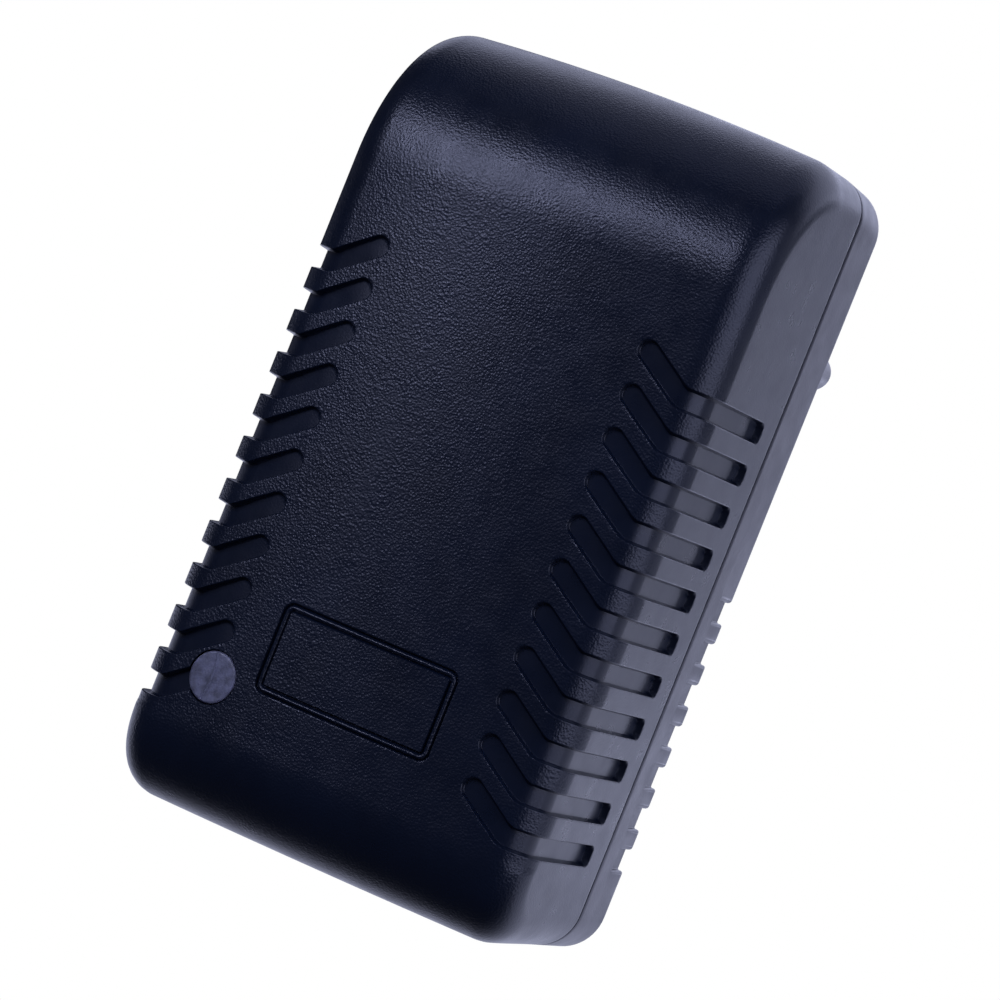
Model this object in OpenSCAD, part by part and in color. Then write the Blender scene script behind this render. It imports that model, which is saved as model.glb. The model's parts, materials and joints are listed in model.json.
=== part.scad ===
// Wall-plug power-over-Ethernet injector: ribbed two-part case, two-pin plug, two jacks and supply board.
// +Z is up as plugged in, -Y faces the room, +Y points into the wall socket.
// The origin is midway between the two plug pins, on the boss face that meets the socket.

/* [Case] */
// Width of the case across the seam
body_w = 43.5; // [43:0.1:46]
// Depth of the case from the front face to the back face
body_d = 30.5; // [30:0.1:33]
// Height of the case above the plug axis
above_plug = 17.9; // [17.4:0.1:20]
// Height of the case below the plug axis
below_plug = 62; // [61.8:0.1:64]
// Depth of the front shell, from the front face to the seam
shell_d = 22.5; // [22.3:0.1:22.7]
// Wall thickness
wall = 2; // [1.8:0.1:2]
// Roll from the front face over to the top
top_roll = 16; // [11:0.5:17]
// Rounding from the front face to the bottom end
bottom_round = 8.5; // [4:0.5:9]
// Rounding from the front face to the sides
side_round = 4.3; // [4:0.1:5]
// Lean of each side wall over the depth of the front shell
side_lean = 0.38; // [0.1:0.02:0.6]
// Radius of the slight crown across the front face
crown_r = 119; // [100:1:200]

/* [Grip grooves] */
// Number of grooves on each side
groove_count = 11; // [8:1:11]
// Distance from one groove to the next
groove_pitch = 4.3; // [4.2:0.1:4.4]
// Width of a groove
groove_w = 2.15; // [1.8:0.05:2.3]
// Depth of a groove below the surface
groove_depth = 0.75; // [0.4:0.05:0.9]
// Distance from the middle of the front to the inner end of a groove
groove_inner = 14.3; // [13.5:0.1:15]
// Height of the first groove's inner end below the plug axis
groove_first = 5.65; // [4:0.05:7]
// Number of notches on each side of the rear cover
notch_count = 7; // [1:1:7]

/* [Plug] */
// Distance between the pins
pin_spacing = 19; // [18:0.5:19]
// Pin diameter
pin_d = 4; // [4:0.1:4.8]
// Length of a pin in front of the boss
pin_len = 19; // [18:0.5:20]
// Height of the boss behind the case
boss_d = 17; // [15:0.5:18]
// Width of the boss
boss_w = 35.3; // [34:0.1:36]
// Thickness of the boss
boss_t = 13.7; // [13:0.1:14]

/* [Front fittings] */
// Diameter of the indicator lens
lens_d = 5; // [4:0.1:5.2]
// Width of the badge frame
badge_w = 18.7; // [16:0.1:20]
// Height of the badge frame
badge_h = 9.1; // [8:0.1:10]

/* [Ports] */
// Width of each modular jack
jack_w = 16; // [15.6:0.1:16.2]
// Thickness of each modular jack
jack_t = 13.4; // [13:0.1:13.4]
// Depth of each modular jack
jack_d = 15.5; // [15:0.1:15.6]

/* [Hidden] */
$fn = 64;
y_back = -boss_d;
y_front = y_back - body_d;
y_seam = y_front + shell_d;
z_top = above_plug;
z_bot = -below_plug;
half_seam = body_w / 2;
half_front = half_seam - side_lean;
// rounding of the case outline seen from the front, and the radius of its arched top
corner_top = 4;
corner_bottom = 4.3;
arch_r = 270;
// flats that make up each crown and each rounding of the case
crown_steps = 4;
round_steps = 7;

// a groove slants outward and down to this bend, then runs level round the side
bend_x = 18.5;
bend_drop = 2.87;
groove_end_y = y_front + 18.8;
end_round = 0.8;

// printed circuit board
board_t = 1.6;
board_y = y_seam;
board_back = board_y + board_t;
board_half = half_seam - wall - 0.8;
board_top = z_top - wall - 1.1;
board_bottom = z_bot + wall + 0.5;

// screws that clamp the board between the two case parts
screw_x = 15.5;
screw_top = 10.9;
screw_low = -40.5;
screw_r = 1.3;
screw_hole = 1.65;
head_r = 2.6;
head_h = 2;
head_sunk = 2.4;
pillar_r = 2.6;
post_r = 4;

// seam: tongue on the rear cover, groove in the front shell, thin shadow line outside
tongue_in = 1.1;
tongue_len = 1.4;
slack = 0.1;

// plug
pin_r = pin_d / 2;
boss_wall = 2;
boss_end = 6.5;
sleeve_len = 10;
neck_r = 1.55;
collar_r = 2.7;
collar_t = 1.2;
tail_r = 1.4;
tail_len = 5.5;
tip_r = 1.8;

lens_x = -13.65;
lens_z = -groove_first - 10.02 * groove_pitch;
lens_r = lens_d / 2;
lens_gap = 0.08;
badge_z = -groove_first - 8.876 * groove_pitch;
line_w = 0.32;
line_gap = 0.3;
line_depth = 0.3;

jack_x = 8.6;
jack_face = z_bot + 0.3;
jack_back = jack_face + jack_d;
jack_front = board_y - jack_t;
socket_half = 5.9;
socket_floor = board_y - 2.6;
socket_roof = socket_floor - 7.9;
socket_d = 12.5;
contact_count = 8;
contact_pitch = 1.02;
contact_r = 0.18;

// ---------- helpers ----------

// extrude a shape drawn in X and Z from y0 to y1
module along_y(y0, y1) {
    translate([0, y1, 0]) rotate([90, 0, 0]) linear_extrude(y1 - y0) children();
}

// extrude a shape drawn in Y and Z from x0 to x1
module along_x(x0, x1) {
    translate([x0, 0, 0]) rotate([90, 0, 90]) linear_extrude(x1 - x0) children();
}

module both_sides() {
    children();
    mirror([1, 0, 0]) children();
}

// rod along Y
module rod_y(r, y0, y1) {
    along_y(y0, y1) circle(r);
}

// box with its corner limits given
module box(low, high) {
    translate(low) cube(high - low);
}

// points along an arc, from angle a0 to a1 in n steps
function arc(centre, r, a0, a1, n) =
    [for (i = [0 : n]) centre + r * [cos(a0 + (a1 - a0) * i / n), sin(a0 + (a1 - a0) * i / n)]];

// centre of the shoulder rounding of radius r that meets a crown of radius big at its inner side
function shoulder(half, big, r) = [half - r, big - sqrt(pow(big - r, 2) - pow(half - r, 2))];

// right half of a crowned end with its apex at the origin, growing along +Y of its own plane
function crowned_half(half, big, r) =
    let (centre = shoulder(half, big, r), lean = atan2(centre.y - big, centre.x))
    concat(arc([0, big], big, -90, lean, crown_steps), arc(centre, r, lean, 0, round_steps));

function flipped(points) = [for (i = [len(points) - 1 : -1 : 0]) [-points[i].x, points[i].y]];

function both_halves(points) = concat(flipped(points), points);

// case outline seen from the front, brought in by t
module outline(t = 0) {
    r_low = corner_bottom - t;
    half = half_seam - t;
    low = z_top - t - (z_bot + t);
    top = crowned_half(half, arch_r, corner_top - t);
    corner = arc([half - r_low, low - r_low], r_low, 0, 90, round_steps);
    translate([0, z_top - t]) mirror([0, 1]) polygon(both_halves(concat(top, corner)));
}

// plan view of the front shell, brought in by t
module plan_view(t = 0) {
    front = crowned_half(half_front - t, crown_r - t, side_round - t);
    translate([0, y_front + t]) polygon(both_halves(concat(front, [[half_seam - t, shell_d - t]])));
}

// side view of the front shell, brought in by t
module side_view(t = 0) {
    polygon(concat(
        [[y_seam, z_top - t]],
        arc([y_front + top_roll, z_top - top_roll], top_roll - t, 90, 180, 2 * round_steps),
        arc([y_front + bottom_round, z_bot + bottom_round], bottom_round - t, 180, 270, round_steps),
        [[y_seam, z_bot + t]]
    ));
}

// outer form of the front shell, brought in by t
module shell_form(t = 0) {
    intersection() {
        along_y(y_front - 1, y_seam + 1) outline(t);
        along_x(-half_seam - 1, half_seam + 1) side_view(t);
        translate([0, 0, z_bot - 1]) linear_extrude(z_top - z_bot + 2) plan_view(t);
    }
}

// ---------- case ----------

function groove_z(i) = -groove_first - i * groove_pitch;

// the space that one groove on the right side sweeps through
module groove_path(i) {
    r = groove_w / 2;
    slope = atan2(bend_drop, bend_x - groove_inner);
    run = norm([bend_drop, bend_x - groove_inner]);
    along_y(y_front - 1, y_front + 6) {
        translate([groove_inner, groove_z(i)]) {
            circle(r);
            rotate(-slope) translate([0, -r]) square([run, groove_w]);
        }
        translate([bend_x, groove_z(i) - bend_drop]) circle(r);
    }
    along_x(bend_x, half_seam + 1) translate([0, groove_z(i) - bend_drop]) {
        translate([y_front - 1, -r]) square([groove_end_y - end_round - y_front + 1, groove_w]);
        for (side = [-1, 1])
            translate([groove_end_y - end_round, side * (r - end_round)]) circle(end_round);
        translate([groove_end_y - 2 * end_round, end_round - r])
            square([2 * end_round, groove_w - 2 * end_round]);
    }
}

// rectangular ring for one engraved line of the badge frame
module badge_line(w, h, r) {
    difference() {
        rounded_plate(w, h, r);
        rounded_plate(w - 2 * line_w, h - 2 * line_w, r - line_w);
    }
}

module rounded_plate(w, h, r) {
    square([w - 2 * r, h], center = true);
    square([w, h - 2 * r], center = true);
    for (sx = [-1, 1], sz = [-1, 1]) translate([sx * (w / 2 - r), sz * (h / 2 - r)]) circle(r);
}

module badge_frame() {
    step = line_w + line_gap;
    along_y(y_front - 1, y_front + 1) translate([0, badge_z]) {
        badge_line(badge_w, badge_h, 1.2);
        badge_line(badge_w - 2 * step, badge_h - 2 * step, 1.2 - step);
    }
}

module at_screws() {
    for (sx = [-1, 1], z = [screw_top, screw_low]) translate([sx * screw_x, 0, z]) children();
}

// opening for both jacks in the bottom wall
module jack_windows(room) {
    for (side = [-1, 1])
        box([side * jack_x - jack_w / 2 - room, jack_front - room, z_bot - 1],
            [side * jack_x + jack_w / 2 + room, y_seam + 1, z_bot + wall + 2]);
}

module front_shell() {
    color("#15171f") difference() {
        union() {
            difference() {
                shell_form();
                shell_form(wall);
                along_y(y_seam - tongue_len - slack, y_seam + 1) outline(tongue_in - slack);
                difference() {
                    both_sides() for (i = [0 : groove_count - 1]) groove_path(i);
                    shell_form(groove_depth);
                }
                difference() {
                    badge_frame();
                    shell_form(line_depth);
                }
            }
            // pillars that the cover screws bite into
            intersection() {
                at_screws() rod_y(pillar_r, y_front, y_seam);
                shell_form(wall / 2);
            }
        }
        at_screws() rod_y(screw_r + 0.05, y_seam - 9, y_seam + 1);
        translate([lens_x, 0, lens_z]) rod_y(lens_r + lens_gap, y_front - 1, y_front + wall + 3);
        jack_windows(0.15);
    }
}

// six-sided plug boss outline with blunt 45 degree tips, brought in by t
module boss_outline(t = 0) {
    tip_c = boss_w / 2 - tip_r;
    sharp = tip_c + tip_r * sqrt(2) - t * sqrt(2);
    half = boss_t / 2 - t;
    blunt = (tip_r - t / 2) / sqrt(2);
    polygon([
        [-sharp + blunt, -blunt], [-sharp + half, -half], [sharp - half, -half], [sharp - blunt, -blunt],
        [sharp - blunt, blunt], [sharp - half, half], [-sharp + half, half], [-sharp + blunt, blunt]
    ]);
    for (side = [-1, 1]) translate([side * (sharp - (tip_r - t / 2) * sqrt(2)), 0]) circle(tip_r - t / 2);
}

// notches in the side walls of the rear cover, in line with the lower grooves
module cover_notches() {
    notch_in = 0.65;
    notch_len = 4;
    first = groove_count - notch_count;
    both_sides() for (i = [first : groove_count - 1])
        box([half_seam - notch_in, y_back - notch_len, groove_z(i) - bend_drop - groove_w / 2],
            [half_seam + 1, y_back + 1, groove_z(i) - bend_drop + groove_w / 2]);
}

module rear_cover() {
    color("#1d1e26") difference() {
        union() {
            difference() {
                along_y(y_seam, y_back) outline();
                along_y(y_seam - 1, y_back - wall) outline(wall);
                // shadow line round the seam
                difference() {
                    along_y(y_seam - 1, y_seam + 0.25) outline(-1);
                    along_y(y_seam - 2, y_seam + 1) outline(0.45);
                }
            }
            difference() {
                along_y(y_seam - tongue_len, y_seam + 1) outline(tongue_in);
                along_y(y_seam - tongue_len - 1, y_seam + 2) outline(wall);
                box([-half_seam, y_seam - 5, z_bot - 1], [half_seam, y_seam, z_bot + wall + 1]);
            }
            along_y(y_back - wall, 0) boss_outline();
            at_screws() rod_y(post_r, board_back, y_back - wall / 2);
        }
        along_y(y_back - wall - 1, -boss_end) boss_outline(boss_wall);
        for (side = [-1, 1]) translate([side * pin_spacing / 2, 0, 0]) rod_y(neck_r, -boss_end - 1, 1);
        at_screws() {
            rod_y(screw_hole, board_back - 1, y_back + 1);
            rod_y(head_r + 0.2, y_back - head_sunk, y_back + 1);
        }
        cover_notches();
    }
}

// pan head with a cross recess, shank reaching through the board into the pillar
module cover_screws() {
    seat = y_back - head_sunk;
    recess_w = 0.7;
    recess_l = 2.6;
    recess_d = 1;
    color("#8d8f94") at_screws() difference() {
        union() {
            rod_y(head_r, seat, seat + head_h);
            rod_y(screw_r, y_seam - 7.5, seat + 0.1);
        }
        translate([0, seat + head_h, 0]) for (turn = [0, 90])
            rotate([0, turn, 0]) cube([recess_l, 2 * recess_d, recess_w], center = true);
    }
}

// blank rating label stuck on the back
module rating_label() {
    color("#c9cbcf") along_y(y_back, y_back + 0.12) translate([0, -31]) rounded_plate(21, 34, 1.5);
}

// thin insulating sheet between the solder side and the back
module insulation_sheet() {
    color("#e9e5d3") difference() {
        box([-17.6, y_back - wall - 0.9, -58], [17.6, y_back - wall - 0.6, -10]);
        at_screws() rod_y(post_r + 0.4, y_seam, y_back);
    }
}

// ---------- plug ----------

// solid pin: tail for the wire, collar inside the boss, neck through boss and sleeve, round contact end
module pin() {
    color("#c3c5c8") rotate([-90, 0, 0]) rotate_extrude() intersection() {
        union() {
            translate([0, -boss_end - tail_len]) square([tail_r, tail_len]);
            translate([0, -boss_end - collar_t]) square([collar_r, collar_t]);
            translate([0, -boss_end]) square([neck_r, boss_end + sleeve_len]);
            translate([0, sleeve_len]) square([pin_r, pin_len - sleeve_len - pin_r]);
            translate([0, pin_len - pin_r]) circle(pin_r);
        }
        translate([0, -30]) square([10, 60]);
    }
}

module sleeve() {
    color("#202127") difference() {
        rod_y(pin_r, 0, sleeve_len);
        rod_y(neck_r, -1, sleeve_len + 1);
    }
}

module mains_wire(tint) {
    color(tint) rod_y(0.9, board_back, -boss_end - tail_len);
}

module live_pin() {
    translate([pin_spacing / 2, 0, 0]) pin();
}

module neutral_pin() {
    translate([-pin_spacing / 2, 0, 0]) pin();
}

module live_sleeve() {
    translate([pin_spacing / 2, 0, 0]) sleeve();
}

module neutral_sleeve() {
    translate([-pin_spacing / 2, 0, 0]) sleeve();
}

module live_wire() {
    translate([pin_spacing / 2, 0, 0]) mains_wire("#6d3f22");
}

module neutral_wire() {
    translate([-pin_spacing / 2, 0, 0]) mains_wire("#2b57a5");
}

// ---------- indicator ----------

// flush diffuser disc with a flange inside the wall and a pocket for the light
module led_lens() {
    color("#b7b6c4") translate([lens_x, 0, lens_z]) difference() {
        union() {
            rod_y(lens_r, y_front + 0.8, y_front + 3.2);
            rod_y(lens_r + 0.7, y_front + 3.2, y_front + 4.2);
        }
        rod_y(1.55, y_front + 2.6, y_front + 5);
    }
}

// 3 mm light with a domed nose and a base flange
module led() {
    color("#d8e8d8") translate([lens_x, 0, lens_z]) {
        rod_y(1.5, y_front + 4, y_front + 7);
        translate([0, y_front + 4.3, 0]) sphere(1.5);
        rod_y(1.9, y_front + 6.2, y_front + 7);
    }
}

// two bent legs that pass behind the jack to the board
module led_leads() {
    r = 0.25;
    leg_z = jack_back + 0.9;
    y0 = y_front + 7;
    y_bend = y0 + 0.9;
    color("#b9bbbf") for (side = [-1, 1]) translate([lens_x + side * 0.9, 0, 0]) {
        translate([0, 0, lens_z]) rod_y(r, y0, y_bend);
        translate([0, y_bend, lens_z]) cylinder(r = r, h = leg_z - lens_z);
        translate([0, y_bend, lens_z]) sphere(r, $fn = 24);
        translate([0, y_bend, leg_z]) sphere(r, $fn = 24);
        translate([0, 0, leg_z]) rod_y(r, y_bend, board_y);
    }
}

// ---------- board and jacks ----------

module main_board() {
    color("#2f6b3f") difference() {
        box([-board_half, board_y, board_bottom], [board_half, board_back, board_top]);
        at_screws() rod_y(screw_hole, board_y - 1, board_back + 1);
    }
}

// modular jack housing, open at the bottom end, with a keyed latch slot facing the room
module jack() {
    color("#26272b") difference() {
        box([-jack_w / 2, jack_front, jack_face], [jack_w / 2, board_y, jack_back]);
        box([-socket_half, socket_roof, jack_face - 1], [socket_half, socket_floor, jack_face + socket_d]);
        box([-3.2, socket_roof - 1.3, jack_face - 1], [3.2, socket_roof + 1, jack_face + 9]);
        // slot that the contact tails pass through to the board
        box([-4.2, socket_floor - 1, jack_face + socket_d - 0.9], [4.2, board_y + 1, jack_face + socket_d]);
    }
}

// eight spring wires slanting across the socket, with tails to the board
module contacts() {
    y_tip = socket_floor - 0.4;
    y_root = socket_floor - 3;
    z_tip = jack_face + 1.6;
    z_root = jack_face + socket_d - 0.45;
    tilt = atan2(y_tip - y_root, z_root - z_tip);
    color("#c9a64f") for (i = [0 : contact_count - 1])
        translate([(i - (contact_count - 1) / 2) * contact_pitch, 0, 0]) {
            translate([0, y_tip, z_tip]) rotate([tilt, 0, 0])
                cylinder(r = contact_r, h = norm([y_tip - y_root, z_root - z_tip]));
            translate([0, y_root, z_root]) sphere(contact_r, $fn = 24);
            translate([0, 0, z_root]) rod_y(contact_r, y_root, board_y);
        }
}

module lan_jack() {
    translate([-jack_x, 0, 0]) jack();
}

module poe_jack() {
    translate([jack_x, 0, 0]) jack();
}

module lan_contacts() {
    translate([-jack_x, 0, 0]) contacts();
}

module poe_contacts() {
    translate([jack_x, 0, 0]) contacts();
}

// ---------- parts on the board ----------

// place a part at (x, z) with its seat on the board, growing towards the front along its own +Z
module on_board(x, z) {
    translate([x, board_y, z]) rotate([90, 0, 0]) children();
}

module legs(spots, h) {
    color("#b9bbbf") for (p = spots) translate([p.x, p.y, 0]) cylinder(r = 0.3, h = h);
}

module can(r, h, tint) {
    color(tint) difference() {
        cylinder(r = r, h = h);
        translate([0, 0, h - 0.3]) cylinder(r = r - 0.8, h = 1);
        translate([0, 0, 1.6]) rotate_extrude() translate([r + 0.35, 0]) circle(0.6, $fn = 32);
    }
}

// leaded disc standing on its edge, thickness along X
module disc(r, t, lift, tint) {
    color(tint) translate([-t / 2, 0, lift + r]) rotate([0, 90, 0]) cylinder(r = r, h = t);
    legs([[0, -r / 2], [0, r / 2]], lift + r / 2);
}

// dual in-line package with two rows of legs
module dip(w, d, h, pairs) {
    lift = 0.6;
    color("#1b1c1f") difference() {
        translate([-w / 2, -d / 2, lift]) cube([w, d, h]);
        translate([-w / 2, 0, lift + h]) cylinder(r = 0.8, h = 1, center = true);
    }
    color("#b9bbbf") for (i = [0 : pairs - 1], side = [-1, 1])
        translate([(i - (pairs - 1) / 2) * 2.54 - 0.25, side * (d / 2 + 0.3) - 0.3, 0])
            cube([0.5, 0.6, lift + h / 2]);
}

module fuse() {
    on_board(-13.3, -2.2) {
        color("#3d6b3a") translate([0, 0, 0.8]) cylinder(r = 4.1, h = 7.6);
        legs([[-2.5, 0], [2.5, 0]], 1);
    }
}

module varistor() {
    on_board(-7, 8.8) disc(5, 4.2, 2, "#2d62a8");
}

module inrush_resistor() {
    on_board(15, -3.4) disc(3.6, 3.4, 2, "#2c3f2c");
}

module x_capacitor() {
    on_board(3.9, 9.6) {
        color("#d9b23a") translate([-6.3, -3.1, 0.6]) cube([12.6, 6.2, 12]);
        legs([[-5, 0], [5, 0]], 0.7);
    }
}

// upright ring core with two windings, one on each half
module choke_core() {
    on_board(-2, -2.7) color("#3f4a3f") translate([0, 0, 7.2]) rotate([0, 90, 0]) difference() {
        cylinder(r = 5.2, h = 4.6, center = true);
        cylinder(r = 2.7, h = 6, center = true);
    }
}

module choke_windings() {
    on_board(-2, -2.7) color("#b5652c") {
        for (side = [-1, 1], i = [-3 : 3])
            translate([0, 0, 7.2]) rotate([90 * side + i * 18, 0, 0]) choke_turn();
        for (side = [-1, 1], x = [-2, 2]) translate([x, side * 4.4, 0]) cylinder(r = 0.35, h = 2.3);
    }
}

// one wire turn round the ring section, clear of the core
module choke_turn() {
    wire = 0.7;
    inside = [4.64, 2 * wire, 2.54];
    low = [-2.32, -wire, 2.68];
    difference() {
        translate(low + [-wire, wire / 2, -wire]) cube([inside.x + 2 * wire, wire, inside.z + 2 * wire]);
        translate(low) cube(inside);
    }
}

module bridge_rectifier() {
    on_board(9.4, 0.4) dip(8.4, 6.2, 3.2, 2);
}

module bulk_capacitor_1() {
    on_board(-12.9, -13.4) {
        can(5, 16, "#23242b");
    }
}

module bulk_capacitor_2() {
    on_board(-1.6, -15.2) {
        can(5, 16, "#23242b");
    }
}

module filter_core() {
    on_board(8, -9.6) color("#45464a") {
        translate([0, 0, 0.3]) cylinder(r = 3.6, h = 1.2);
        cylinder(r = 1.6, h = 8.4);
        translate([0, 0, 7.6]) cylinder(r = 3.6, h = 1.2);
    }
}

module filter_winding() {
    on_board(8, -9.6) color("#b5652c") difference() {
        translate([0, 0, 1.6]) cylinder(r = 3.2, h = 5.9);
        cylinder(r = 1.65, h = 10);
    }
}

module controller_ic() {
    on_board(12.4, -17.6) dip(9.4, 6.2, 3.3, 4);
}

module snubber_diode() {
    on_board(-13.4, -21.8) {
        color("#26272b") translate([-2.5, 0, 1.4]) rotate([0, 90, 0]) cylinder(r = 1.3, h = 5);
        legs([[-2, 0], [2, 0]], 0.4);
    }
}

module snubber_resistor() {
    on_board(-14.6, -26.2) {
        color("#8fb3c4") translate([-3, 0, 1.5]) rotate([0, 90, 0]) cylinder(r = 1.3, h = 6);
        legs([[-2.4, 0], [2.4, 0]], 0.5);
    }
}

module snubber_capacitor() {
    on_board(-14.4, -31.6) disc(2.6, 2.6, 1.5, "#2d62a8");
}

// two E cores meeting round the bobbin
module transformer_core() {
    on_board(-1, -29.2) color("#3a3b40") difference() {
        translate([-9.6, -2.4, 1.8]) cube([19.2, 4.8, 16]);
        for (side = [-1, 1]) translate([side * 4.9 - 2.5, -3, 4.1]) cube([5, 6, 11.4]);
    }
}

module transformer_bobbin() {
    on_board(-1, -29.2) {
        color("#2a2b2f") difference() {
            union() {
                for (z = [4.3, 14.3]) translate([-7.1, -7.2, z]) cube([14.2, 14.4, 1]);
                translate([-3.2, -3.6, 4.3]) cube([6.4, 7.2, 11]);
                for (side = [-1, 1]) translate([-7.1, side * 6 - 1.2, 0.6]) cube([14.2, 2.4, 3.8]);
            }
            translate([-2.45, -2.45, 0]) cube([4.9, 4.9, 20]);
        }
        legs([for (x = [-5, 0, 5], y = [-6, 6]) [x, y]], 0.7);
    }
}

module transformer_winding() {
    on_board(-1, -29.2) color("#d8b93c") difference() {
        translate([-6.7, -6.7, 5.4]) cube([13.4, 13.4, 8.8]);
        translate([-3.25, -3.65, 5]) cube([6.5, 7.3, 10]);
        for (side = [-1, 1]) translate([side * 9.75 - 2.4, -2.45, 5]) cube([4.8, 4.9, 10]);
    }
}

module y_capacitor() {
    on_board(14.6, -27.2) disc(3.8, 3.6, 2, "#2f6fb5");
}

module optocoupler() {
    on_board(14.4, -34.6) dip(4.6, 5.2, 3.3, 2);
}

// small three-leg package with one flat side
module voltage_reference() {
    on_board(-14.8, -35.6) {
        color("#1b1c1f") translate([0, 0, 2]) difference() {
            cylinder(r = 2.2, h = 4.4);
            translate([-3, 1.2, -1]) cube([6, 3, 7]);
        }
        legs([[-1.27, 0], [0, 0], [1.27, 0]], 2.1);
    }
}

module output_diode() {
    on_board(9.6, -41) {
        color("#26272b") translate([0, 0, 1.2]) cylinder(r = 2.6, h = 9.2);
        legs([[0, 0], [0, -3.3]], 1.3);
        color("#b9bbbf") translate([0, -3.3, 0]) cylinder(r = 0.3, h = 11.6);
        color("#b9bbbf") translate([-0.3, -3.6, 11.3]) cube([0.6, 3.9, 0.6]);
        color("#b9bbbf") cylinder(r = 0.3, h = 11.6);
    }
}

module output_capacitor_1() {
    on_board(-8.2, -41.7) can(4, 12, "#23242b");
}

module output_capacitor_2() {
    on_board(0.4, -41.7) can(4, 12, "#23242b");
}

// ferrite bead with its wire
module output_choke() {
    on_board(5.6, -44.6) {
        color("#3a3b40") translate([0, 0, 0.6]) difference() {
            cylinder(r = 1.2, h = 5);
            translate([0, 0, -1]) cylinder(r = 0.4, h = 7);
        }
        color("#b9bbbf") cylinder(r = 0.35, h = 6.4);
    }
}

module output_resistors() {
    for (spot = [[11.4, -23.6], [17, -22.6]]) on_board(spot.x, spot.y) {
        color("#c9b48a") translate([0, 0, 0.6]) cylinder(r = 0.9, h = 4);
        legs([[0, 0]], 0.8);
    }
}

front_shell();
rear_cover();
cover_screws();
rating_label();
insulation_sheet();
live_pin();
neutral_pin();
live_sleeve();
neutral_sleeve();
live_wire();
neutral_wire();
led_lens();
led();
led_leads();
main_board();
lan_jack();
poe_jack();
lan_contacts();
poe_contacts();
fuse();
varistor();
inrush_resistor();
x_capacitor();
choke_core();
choke_windings();
bridge_rectifier();
bulk_capacitor_1();
bulk_capacitor_2();
filter_core();
filter_winding();
controller_ic();
snubber_diode();
snubber_resistor();
snubber_capacitor();
transformer_core();
transformer_bobbin();
transformer_winding();
y_capacitor();
optocoupler();
voltage_reference();
output_diode();
output_capacitor_1();
output_capacitor_2();
output_choke();
output_resistors();
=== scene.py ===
import json
import math

import bmesh
import bpy
import numpy as np
from mathutils import Matrix, Vector


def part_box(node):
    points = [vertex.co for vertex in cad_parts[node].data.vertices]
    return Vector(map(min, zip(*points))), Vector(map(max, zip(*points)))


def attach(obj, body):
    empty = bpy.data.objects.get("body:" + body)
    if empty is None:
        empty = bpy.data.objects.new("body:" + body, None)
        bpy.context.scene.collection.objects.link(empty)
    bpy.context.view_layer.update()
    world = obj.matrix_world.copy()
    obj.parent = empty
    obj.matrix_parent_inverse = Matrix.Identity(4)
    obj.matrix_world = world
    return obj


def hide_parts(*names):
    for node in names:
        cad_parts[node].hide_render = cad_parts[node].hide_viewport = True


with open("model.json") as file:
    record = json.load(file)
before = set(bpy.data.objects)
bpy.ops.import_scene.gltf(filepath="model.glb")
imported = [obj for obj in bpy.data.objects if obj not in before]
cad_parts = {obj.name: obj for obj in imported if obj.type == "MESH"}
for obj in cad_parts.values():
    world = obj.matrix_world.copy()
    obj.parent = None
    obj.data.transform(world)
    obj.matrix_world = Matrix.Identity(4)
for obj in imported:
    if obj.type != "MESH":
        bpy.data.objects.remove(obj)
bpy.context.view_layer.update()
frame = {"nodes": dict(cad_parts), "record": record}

MM = 0.001


def box_mm(node):
    """Lowest and highest corner of a CAD node, in millimetres."""
    low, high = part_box(node)
    return np.array(low) / MM, np.array(high) / MM


# ---------------------------------------------------------------- sizes, in millimetres

shell_low, shell_high = box_mm("front_shell")
cover_high = box_mm("rear_cover")[1]
label_low = box_mm("rating_label")[0]
lens_low, lens_high = box_mm("led_lens")

HALF = shell_high[0]  # half of the case's width
Y_FRONT = shell_low[1]
Y_SEAM = shell_high[1]
Y_BACK = label_low[1]
Y_PLUG = cover_high[1]
Z_TOP = shell_high[2]
Z_BOTTOM = shell_low[2]
WALL = 2.0

# Case form: the radius of each crowned face and of each rounding
SIDE_LEAN = 0.38  # how much further out each side wall is at the seam than at the front
FRONT_CROWN = 119.0
TOP_ARCH = 270.0
BOTTOM_ARCH = 1800.0
TOP_ROLL = 16.0
BOTTOM_ROUND = 8.5
SIDE_ROUND = 4.25
CORNER_TOP = 3.7
CORNER_OPENS = 0.4  # growth of the top corner radius from the seam to the roll
CORNER_BACK = 4.5
CORNER_LOW = 4.0
CORNER_SEAM = 4.55
LOW_CORNER_FROM = -53.5  # height under which the side rounding tightens to the low corner's
LOW_CORNER_OVER = 3.5
SEAM_TOP_IN = 3.6  # how far past the corner the side wall's outermost rows meet the seam
SEAM_LOW_IN = 2.4

# Grip grooves: slanted on the front, then bent to run level round the side wall
GROOVES = 11
PITCH = 4.3
GROOVE_HALF = 1.075
GROOVE_INNER = 14.28
GROOVE_FIRST = -5.65
SLANT_FROM = 12.9
BEND_X = 18.5
BEND_HALF = 0.7
BEND_DROP = 2.87
BEND_SOFT = 0.42
GROOVE_END = Y_FRONT + 18.8
GROOVE_END_ROUND = 0.8
GROOVE_MARGIN = 1.12  # the rows that follow a groove reach this many half widths from its middle
SIDE_WALL_X = 20.5  # further out and further back than these two, only the side wall is left
SIDE_WALL_Y = Y_FRONT + 12

# Depths of the grooves, from the inner tip over the front to the side wall
GROOVE_DEEP_TIP = 0.45
GROOVE_DEEP_FRONT = 0.85
GROOVE_DEEP_SIDE = 0.72
GROOVE_WALL = 0.24  # width of a groove's wall, and how far outside the groove's edge it starts
GROOVE_LIP = 0.04

SEAM_LIP = 0.1  # rounding of the shell's edge at the seam

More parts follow.
